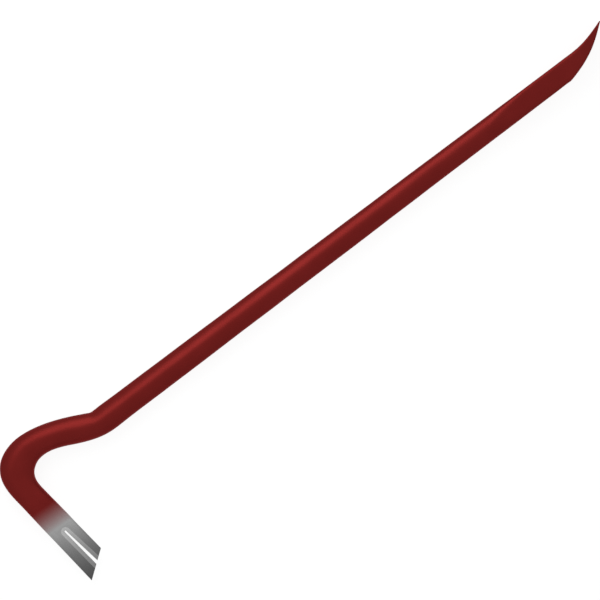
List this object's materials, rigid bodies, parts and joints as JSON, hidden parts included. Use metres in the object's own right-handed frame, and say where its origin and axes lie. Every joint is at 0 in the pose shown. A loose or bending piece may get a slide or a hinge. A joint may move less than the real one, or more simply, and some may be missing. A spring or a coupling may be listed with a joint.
{
  "type": "gooseneck wrecking bar",
  "caption": "Painted steel wrecking bar with a round shank, a gooseneck bend ending in a slotted bare-metal nail claw, and a curved chisel end, for prying and forcing entry.",
  "frame": {"origin": "on the axis of the shank, within 6 mm of the point where the bar balances", "axes": "+X along the shank towards the chisel end, +Y square to the shank on the side that the gooseneck and the chisel tip rise to (the claw points to -Y), +Z square to the plane that the gooseneck is bent in. The bar lies on its side, and z = 0 is its mirror plane"},
  "size_m": [0.7623, 0.1598, 0.028],
  "materials": {
    "red_enamel": "dark red air-drying enamel, satin",
    "bare_steel": "ground and lightly worn tool steel"
  },
  "bodies": {
    "root": {"forged_bar": "bare_steel", "paint_coat": "red_enamel"}
  },
  "joints": []
}
